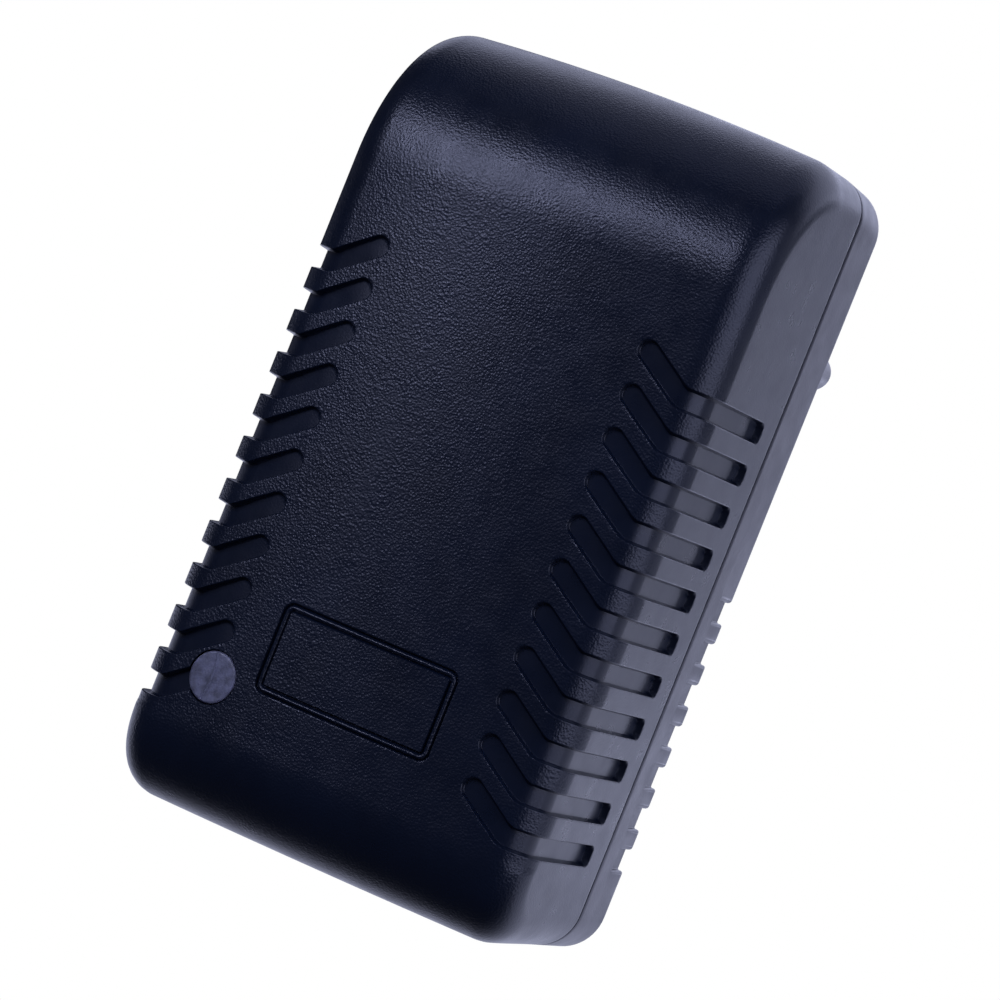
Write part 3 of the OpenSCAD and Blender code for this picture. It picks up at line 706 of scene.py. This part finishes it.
class Surface:
    """A procedural material built up from a few kinds of moulded, drawn and printed detail."""

    def __init__(self, name, colour, rough, metal=0.0, specular=0.5, ior=1.5, coat=0.0, tint=(1, 1, 1)):
        self.material = bpy.data.materials.new(name)
        self.material.use_nodes = True
        self.tree = self.material.node_tree
        self.shader = self.tree.nodes["Principled BSDF"]
        self.colour = (*colour, 1)
        self.rough = rough
        self.height = None
        self.shader.inputs["Metallic"].default_value = metal
        self.shader.inputs["Specular IOR Level"].default_value = specular
        self.shader.inputs["IOR"].default_value = ior
        self.shader.inputs["Coat Weight"].default_value = coat
        self.shader.inputs["Specular Tint"].default_value = (*tint, 1)
        self.coordinates = self.node("ShaderNodeTexCoord").outputs["Object"]

    def node(self, kind, **settings):
        made = self.tree.nodes.new(kind)
        for key, value in settings.items():
            setattr(made, key, value)
        return made

    def link(self, source, target):
        self.tree.links.new(source, target)

    def stretched(self, stretch):
        """Object coordinates in millimetres, drawn out along the axes."""
        mapping = self.node("ShaderNodeMapping")
        mapping.inputs["Scale"].default_value = [1 / MM / v for v in stretch]
        self.link(self.coordinates, mapping.inputs["Vector"])
        return mapping.outputs["Vector"]

    def noise(self, size, detail=3.0, stretch=(1, 1, 1), rough=0.5):
        """Noise whose patches are about size millimetres across."""
        made = self.node("ShaderNodeTexNoise")
        made.inputs["Scale"].default_value = 1 / size
        made.inputs["Detail"].default_value = detail
        made.inputs["Roughness"].default_value = rough
        self.link(self.stretched(stretch), made.inputs["Vector"])
        return made.outputs["Fac"]

    def cells(self, size, softness=0.4):
        """Rounded pebbles about size millimetres across."""
        made = self.node("ShaderNodeTexVoronoi", feature="SMOOTH_F1")
        made.inputs["Scale"].default_value = 1 / size
        made.inputs["Smoothness"].default_value = softness
        self.link(self.stretched((1, 1, 1)), made.inputs["Vector"])
        return made.outputs["Distance"]

    def wave(self, size, direction="Z"):
        """Parallel turns or threads, size millimetres apart."""
        made = self.node("ShaderNodeTexWave", bands_direction=direction, wave_profile="SIN")
        made.inputs["Scale"].default_value = 0.314 / size
        made.inputs["Distortion"].default_value = 0.4
        made.inputs["Detail Scale"].default_value = 1.5
        self.link(self.stretched((1, 1, 1)), made.inputs["Vector"])
        return made.outputs["Fac"]

    def span(self, value, low, high):
        """Spreads the middle of a texture's range, 0.3 to 0.7, from low to high."""
        made = self.node("ShaderNodeMapRange")
        made.inputs["From Min"].default_value = 0.3
        made.inputs["From Max"].default_value = 0.7
        made.inputs["To Min"].default_value = low
        made.inputs["To Max"].default_value = high
        self.link(value, made.inputs["Value"])
        return made.outputs["Result"]

    def attribute(self, name):
        return self.node("ShaderNodeAttribute", attribute_name=name).outputs["Fac"]

    def vary_colour(self, value, other):
        """Blends the base colour towards another where value is high."""
        mix = self.node("ShaderNodeMix", data_type="RGBA")
        mix.inputs["A"].default_value = self.colour
        mix.inputs["B"].default_value = (*other, 1)
        self.link(self.span(value, 0, 1), mix.inputs["Factor"])
        self.link(mix.outputs["Result"], self.shader.inputs["Base Color"])

    def vary_rough(self, value, amount):
        varied = self.span(value, self.rough - amount, self.rough + amount)
        self.link(varied, self.shader.inputs["Roughness"])

    def bump(self, value, high_mm, strength=None):
        """Adds relief high_mm high on top of the relief so far."""
        made = self.node("ShaderNodeBump")
        made.inputs["Distance"].default_value = high_mm * MM
        made.inputs["Strength"].default_value = 1.0
        if strength is not None:
            self.link(strength, made.inputs["Strength"])
        self.link(value, made.inputs["Height"])
        if self.height is not None:
            self.link(self.height, made.inputs["Normal"])
        self.height = made.outputs["Normal"]
        self.link(self.height, self.shader.inputs["Normal"])


def tinted(colour, factor):
    """The colour made lighter or darker."""
    return tuple(min(1.0, c * factor) for c in colour)


def moulded_case(name, colour, rough, pebble, pebble_high, by_land):
    """Spark-eroded black moulding with a blue cast: pebbled grain, a finer pore and slight handling marks."""
    s = Surface(name, colour, rough, specular=CASE_SPECULAR, ior=1.5, tint=CASE_TINT)
    grain = s.attribute("grain") if by_land else None
    s.vary_colour(s.noise(7, 4), tinted(colour, 1.35))
    s.vary_rough(s.noise(2.5, 5), 0.035)
    s.bump(s.cells(pebble), pebble_high, grain)
    s.bump(s.noise(0.16, 2), pebble_high * 0.3, grain)
    return s.material


def plastic(name, colour, rough, grain=0.3, high=0.01, coat=0.0):
    """Plain moulded or dipped plastic with flow marks and a fine skin."""
    s = Surface(name, colour, rough, coat=coat)
    s.vary_colour(s.noise(4, 4), tinted(colour, 1.3))
    s.vary_rough(s.noise(1.5, 4), 0.06)
    s.bump(s.noise(grain, 3), high)
    return s.material


def metal(name, colour, rough, stretch, high=0.004):
    """Drawn or plated metal: fine marks along the drawing direction and a mottled polish."""
    s = Surface(name, colour, rough, metal=1.0)
    s.vary_colour(s.noise(3, 4), tinted(colour, 0.82))
    s.vary_rough(s.noise(0.4, 4, stretch), 0.07)
    s.bump(s.noise(0.12, 2, stretch), high)
    return s.material


def wound(name, colour, rough, turn, direction, metallic=0.0):
    """Turns of wire or tape laid side by side."""
    s = Surface(name, colour, rough, metal=metallic, coat=0.4)
    turns = s.wave(turn, direction)
    s.vary_colour(turns, tinted(colour, 0.55))
    s.vary_rough(s.noise(0.8, 3), 0.05)
    s.bump(turns, turn * 0.25)
    return s.material


def frosted_lens(name):
    """Frosted pale plastic with light scattered inside it."""
    s = Surface(name, LENS_COLOUR, 0.36, specular=0.5)
    s.vary_colour(s.noise(0.9, 6), tinted(LENS_COLOUR, 0.4))
    s.vary_rough(s.noise(0.5, 3), 0.1)
    s.bump(s.noise(0.25, 5), 0.04)
    s.shader.inputs["Subsurface Weight"].default_value = 0.35
    s.shader.inputs["Subsurface Radius"].default_value = (0.9, 0.8, 1.0)
    s.shader.inputs["Subsurface Scale"].default_value = 0.6 * MM
    return s.material


def clear_epoxy(name):
    """Cast, faintly green epoxy."""
    s = Surface(name, (0.75, 0.9, 0.78), 0.08, ior=1.53)
    s.vary_colour(s.noise(1.2, 2), (0.6, 0.82, 0.65))
    s.vary_rough(s.noise(0.8, 3), 0.03)
    s.bump(s.noise(0.5, 2), 0.003)
    s.shader.inputs["Transmission Weight"].default_value = 0.8
    return s.material


def solder_mask(name):
    """Green solder mask with tracks just showing under it."""
    colour = (0.012, 0.11, 0.035)
    s = Surface(name, colour, 0.3, coat=0.5)
    tracks = s.node("ShaderNodeTexBrick", offset=0.37)
    tracks.inputs["Scale"].default_value = 0.32
    tracks.inputs["Mortar Size"].default_value = 0.06
    tracks.inputs["Mortar Smooth"].default_value = 0.3
    turned = s.node("ShaderNodeMapping")
    turned.inputs["Scale"].default_value = (1 / MM, 1 / MM, 1 / MM)
    turned.inputs["Rotation"].default_value = (math.radians(90), 0, 0)
    s.link(s.coordinates, turned.inputs["Vector"])
    s.link(turned.outputs["Vector"], tracks.inputs["Vector"])
    s.vary_colour(tracks.outputs["Fac"], (0.03, 0.2, 0.07))
    s.vary_rough(s.noise(1.2, 4), 0.05)
    s.bump(tracks.outputs["Fac"], 0.03)
    s.bump(s.noise(0.3, 2), 0.006)
    return s.material


def label_film(name):
    """Blank silver film with a fine brushed grain and a faint orange peel."""
    s = Surface(name, (0.6, 0.61, 0.63), 0.34, metal=0.35)
    s.vary_colour(s.noise(0.5, 4, (12, 1, 1)), (0.5, 0.51, 0.53))
    s.vary_rough(s.noise(1.8, 4), 0.06)
    s.bump(s.noise(1.1, 2), 0.012)
    s.bump(s.noise(0.1, 2, (20, 1, 1)), 0.003)
    return s.material


def fibre_sheet(name):
    """Calendered insulating paper."""
    colour = (0.62, 0.56, 0.4)
    s = Surface(name, colour, 0.6)
    s.vary_colour(s.noise(0.7, 6, (1, 1, 6)), tinted(colour, 0.72))
    s.vary_rough(s.noise(1.0, 4), 0.08)
    s.bump(s.noise(0.25, 5, (1, 1, 5)), 0.02)
    return s.material


def sintered(name):
    """Ground ferrite, dark grey with fine pits."""
    s = Surface(name, (0.025, 0.025, 0.028), 0.48, specular=0.6)
    s.vary_colour(s.noise(1.4, 5), (0.05, 0.05, 0.056))
    s.vary_rough(s.noise(0.4, 4), 0.1)
    s.bump(s.cells(0.22, 0.2), 0.012)
    return s.material


def make_materials():
    """Every material slot of the record and its surface."""
    made = {}

    def add(make, name, *settings, **named):
        made[name] = make(name, *settings, **named)

    add(moulded_case, "case_front", CASE_COLOUR, CASE_ROUGH, PEBBLE, PEBBLE_HIGH, by_land=True)
    add(moulded_case, "case_rear", COVER_COLOUR, COVER_ROUGH, 0.3, PEBBLE_HIGH * 0.3, by_land=False)
    add(metal, "screw_steel", (0.56, 0.57, 0.6), rough=0.32, stretch=(1, 6, 1))
    add(label_film, "label_film")
    add(fibre_sheet, "insulating_film")
    add(metal, "pin_metal", (0.73, 0.72, 0.7), rough=0.16, stretch=(1, 14, 1), high=0.002)
    add(plastic, "sleeve_plastic", (0.012, 0.012, 0.015), rough=0.4, grain=0.25, high=0.012)
    add(plastic, "wire_brown", (0.16, 0.06, 0.03), rough=0.4, grain=0.4)
    add(plastic, "wire_blue", (0.03, 0.1, 0.35), rough=0.4, grain=0.4)
    add(frosted_lens, "lens_diffuser")
    add(clear_epoxy, "led_clear")
    add(metal, "lead_tin", (0.7, 0.71, 0.73), rough=0.28, stretch=(1, 8, 1))
    add(solder_mask, "board_green")
    add(plastic, "jack_black", (0.012, 0.012, 0.014), rough=0.28, grain=0.35)
    add(metal, "contact_gold", (0.85, 0.62, 0.24), rough=0.2, stretch=(1, 1, 10), high=0.002)
    add(plastic, "part_green", (0.03, 0.1, 0.04), rough=0.5, high=0.02)
    add(plastic, "part_blue", (0.02, 0.09, 0.34), rough=0.22, grain=0.9, high=0.03, coat=0.6)
    add(plastic, "part_yellow", (0.62, 0.36, 0.03), rough=0.42, grain=0.35)
    add(sintered, "ferrite")
    add(wound, "copper_wire", (0.62, 0.2, 0.07), rough=0.25, turn=0.7, direction="X", metallic=1.0)
    add(plastic, "chip_black", (0.012, 0.012, 0.013), rough=0.5, grain=0.15, high=0.012)
    add(plastic, "can_sleeve", (0.012, 0.013, 0.02), rough=0.24, grain=1.2, high=0.012, coat=0.3)
    add(plastic, "resistor_body", (0.2, 0.33, 0.4), rough=0.35, grain=0.6, high=0.015, coat=0.3)
    add(plastic, "bobbin_plastic", (0.018, 0.018, 0.02), rough=0.42, high=0.012)
    add(wound, "winding_tape", (0.7, 0.5, 0.05), rough=0.22, turn=2.2, direction="Z")
    return made


def give(obj, material):
    obj.data.materials.clear()
    obj.data.materials.append(material)


# ---------------------------------------------------------------- studio


def direction(azimuth, elevation):
    """Unit vector at an azimuth from straight in front towards the right, and an elevation."""
    a, e = math.radians(azimuth), math.radians(elevation)
    return Vector((math.sin(a) * math.cos(e), -math.cos(a) * math.cos(e), math.sin(e)))


def panel(name, azimuth, elevation, width, height, radiance):
    """A soft box seen from the object at these angles, width and height in degrees."""
    light = bpy.data.lights.new(name, "AREA")
    light.shape = "RECTANGLE"
    light.size = 2 * PANEL_FAR * MM * math.tan(math.radians(width / 2))
    light.size_y = 2 * PANEL_FAR * MM * math.tan(math.radians(height / 2))
    light.energy = radiance * math.pi * light.size * light.size_y
    light.color = LIGHT_COLOUR
    obj = bpy.data.objects.new(name, light)
    bpy.context.scene.collection.objects.link(obj)
    away = direction(azimuth, elevation)
    obj.location = (CENTRE + away * PANEL_FAR) * MM
    obj.rotation_mode = "QUATERNION"
    obj.rotation_quaternion = away.to_track_quat("Z", "Y")
    obj.visible_camera = False


def build_lights():
    panel("key", -31, 15, 7, 14, 14.5)
    panel("key_top", -20, 31, 60, 6, 9.5)
    panel("right", 74, 6, 47, 60, 1.7)
    panel("right_rear", 124, 0, 44, 50, 0.2)
    panel("behind_right", 180, 0, 40, 44, 1.35)
    panel("over_back", 180, 38, 80, 36, 1.0)
    panel("over_middle", 180, 68, 60, 20, 0.4)
    panel("over", 0, 88, 50, 22, 0.3)


def build_world():
    """Dim room light for the object, and plain white for the camera."""
    world = bpy.data.worlds.new("studio")
    bpy.context.scene.world = world
    world.use_nodes = True
    nodes, links = world.node_tree.nodes, world.node_tree.links
    nodes.clear()
    out = nodes.new("ShaderNodeOutputWorld")
    mix = nodes.new("ShaderNodeMixShader")
    seen = nodes.new("ShaderNodeBackground")
    room = nodes.new("ShaderNodeBackground")
    path = nodes.new("ShaderNodeLightPath")
    room.inputs["Color"].default_value = (*LIGHT_COLOUR, 1)
    room.inputs["Strength"].default_value = ROOM_LIGHT
    seen.inputs["Color"].default_value = (1, 1, 1, 1)
    links.new(path.outputs["Is Camera Ray"], mix.inputs["Fac"])
    links.new(room.outputs[0], mix.inputs[1])
    links.new(seen.outputs[0], mix.inputs[2])
    links.new(mix.outputs[0], out.inputs["Surface"])


def build_floor():
    """A pale floor under the object: plain white to the camera, lit more strongly towards the back, and clear
    from below."""
    half, z = FLOOR_HALF, Z_BOTTOM - FLOOR_DROP
    corners = [(-half, -half, z), (half, -half, z), (half, half, z), (-half, half, z)]
    mesh = bpy.data.meshes.new("floor")
    mesh.from_pydata([[v * MM for v in p] for p in corners], [], [(0, 1, 2, 3)])
    floor = bpy.data.objects.new("floor", mesh)
    bpy.context.scene.collection.objects.link(floor)
    material = bpy.data.materials.new("floor")
    material.use_nodes = True
    nodes, links = material.node_tree.nodes, material.node_tree.links
    nodes.clear()
    out = nodes.new("ShaderNodeOutputMaterial")
    glow = nodes.new("ShaderNodeEmission")
    path = nodes.new("ShaderNodeLightPath")
    place = nodes.new("ShaderNodeTexCoord")
    split = nodes.new("ShaderNodeSeparateXYZ")
    lit = nodes.new("ShaderNodeMapRange")
    lit.interpolation_type = "SMOOTHSTEP"
    lit.inputs["From Min"].default_value = FLOOR_DIM_Y * MM
    lit.inputs["From Max"].default_value = FLOOR_LIT_Y * MM
    lit.inputs["To Min"].default_value = FLOOR_DIM
    lit.inputs["To Max"].default_value = FLOOR_LIT
    mix = nodes.new("ShaderNodeMix")
    mix.inputs["B"].default_value = 1.0
    tone = nodes.new("ShaderNodeMix")
    tone.data_type = "RGBA"
    tone.inputs["A"].default_value = (*LIGHT_COLOUR, 1)
    tone.inputs["B"].default_value = (1, 1, 1, 1)
    links.new(path.outputs["Is Camera Ray"], tone.inputs["Factor"])
    links.new(tone.outputs["Result"], glow.inputs["Color"])
    links.new(place.outputs["Object"], split.inputs[0])
    links.new(split.outputs["Y"], lit.inputs["Value"])
    links.new(path.outputs["Is Camera Ray"], mix.inputs["Factor"])
    links.new(lit.outputs[0], mix.inputs["A"])
    links.new(mix.outputs[0], glow.inputs["Strength"])
    side = nodes.new("ShaderNodeNewGeometry")
    clear = nodes.new("ShaderNodeBsdfTransparent")
    one_way = nodes.new("ShaderNodeMixShader")
    links.new(side.outputs["Backfacing"], one_way.inputs["Fac"])
    links.new(glow.outputs[0], one_way.inputs[1])
    links.new(clear.outputs[0], one_way.inputs[2])
    links.new(one_way.outputs[0], out.inputs["Surface"])
    mesh.materials.append(material)


def build_camera():
    """The photographer's viewpoint, with the camera rolled so that the object leans in the frame."""
    back = direction(CAMERA_AZIMUTH, CAMERA_ELEVATION)
    camera = bpy.data.objects.new("camera", bpy.data.cameras.new("camera"))
    bpy.context.scene.collection.objects.link(camera)
    bpy.context.scene.camera = camera
    camera.data.lens = CAMERA_LENS
    camera.data.sensor_width = 36.0
    camera.data.dof.use_dof = False
    camera.data.clip_start = 0.01
    camera.data.clip_end = 20
    camera.location = Vector(CAMERA_TARGET) * MM + back * CAMERA_FAR * MM
    camera.rotation_mode = "QUATERNION"
    roll = Matrix.Rotation(math.radians(CAMERA_ROLL), 4, "Z").to_quaternion()
    camera.rotation_quaternion = (-back).to_track_quat("-Z", "Y") @ roll


# ---------------------------------------------------------------- main

materials = make_materials()

for piece, node, slot in ((build_front_shell(), "front_shell", "case_front"),
                          (build_cover(), "rear_cover", "case_rear"),
                          (build_lens(), "led_lens", "lens_diffuser")):
    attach(piece, "root")
    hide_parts(node)
    give(piece, materials[slot])

replaced = ("front_shell", "rear_cover", "led_lens")
for part in frame["record"]["subparts"]:
    if part["node"] not in replaced:
        give(frame["nodes"][part["node"]], materials[part["material_slot"]])

build_lights()
build_world()
build_floor()
build_camera()
bpy.context.scene.view_settings.view_transform = "Standard"
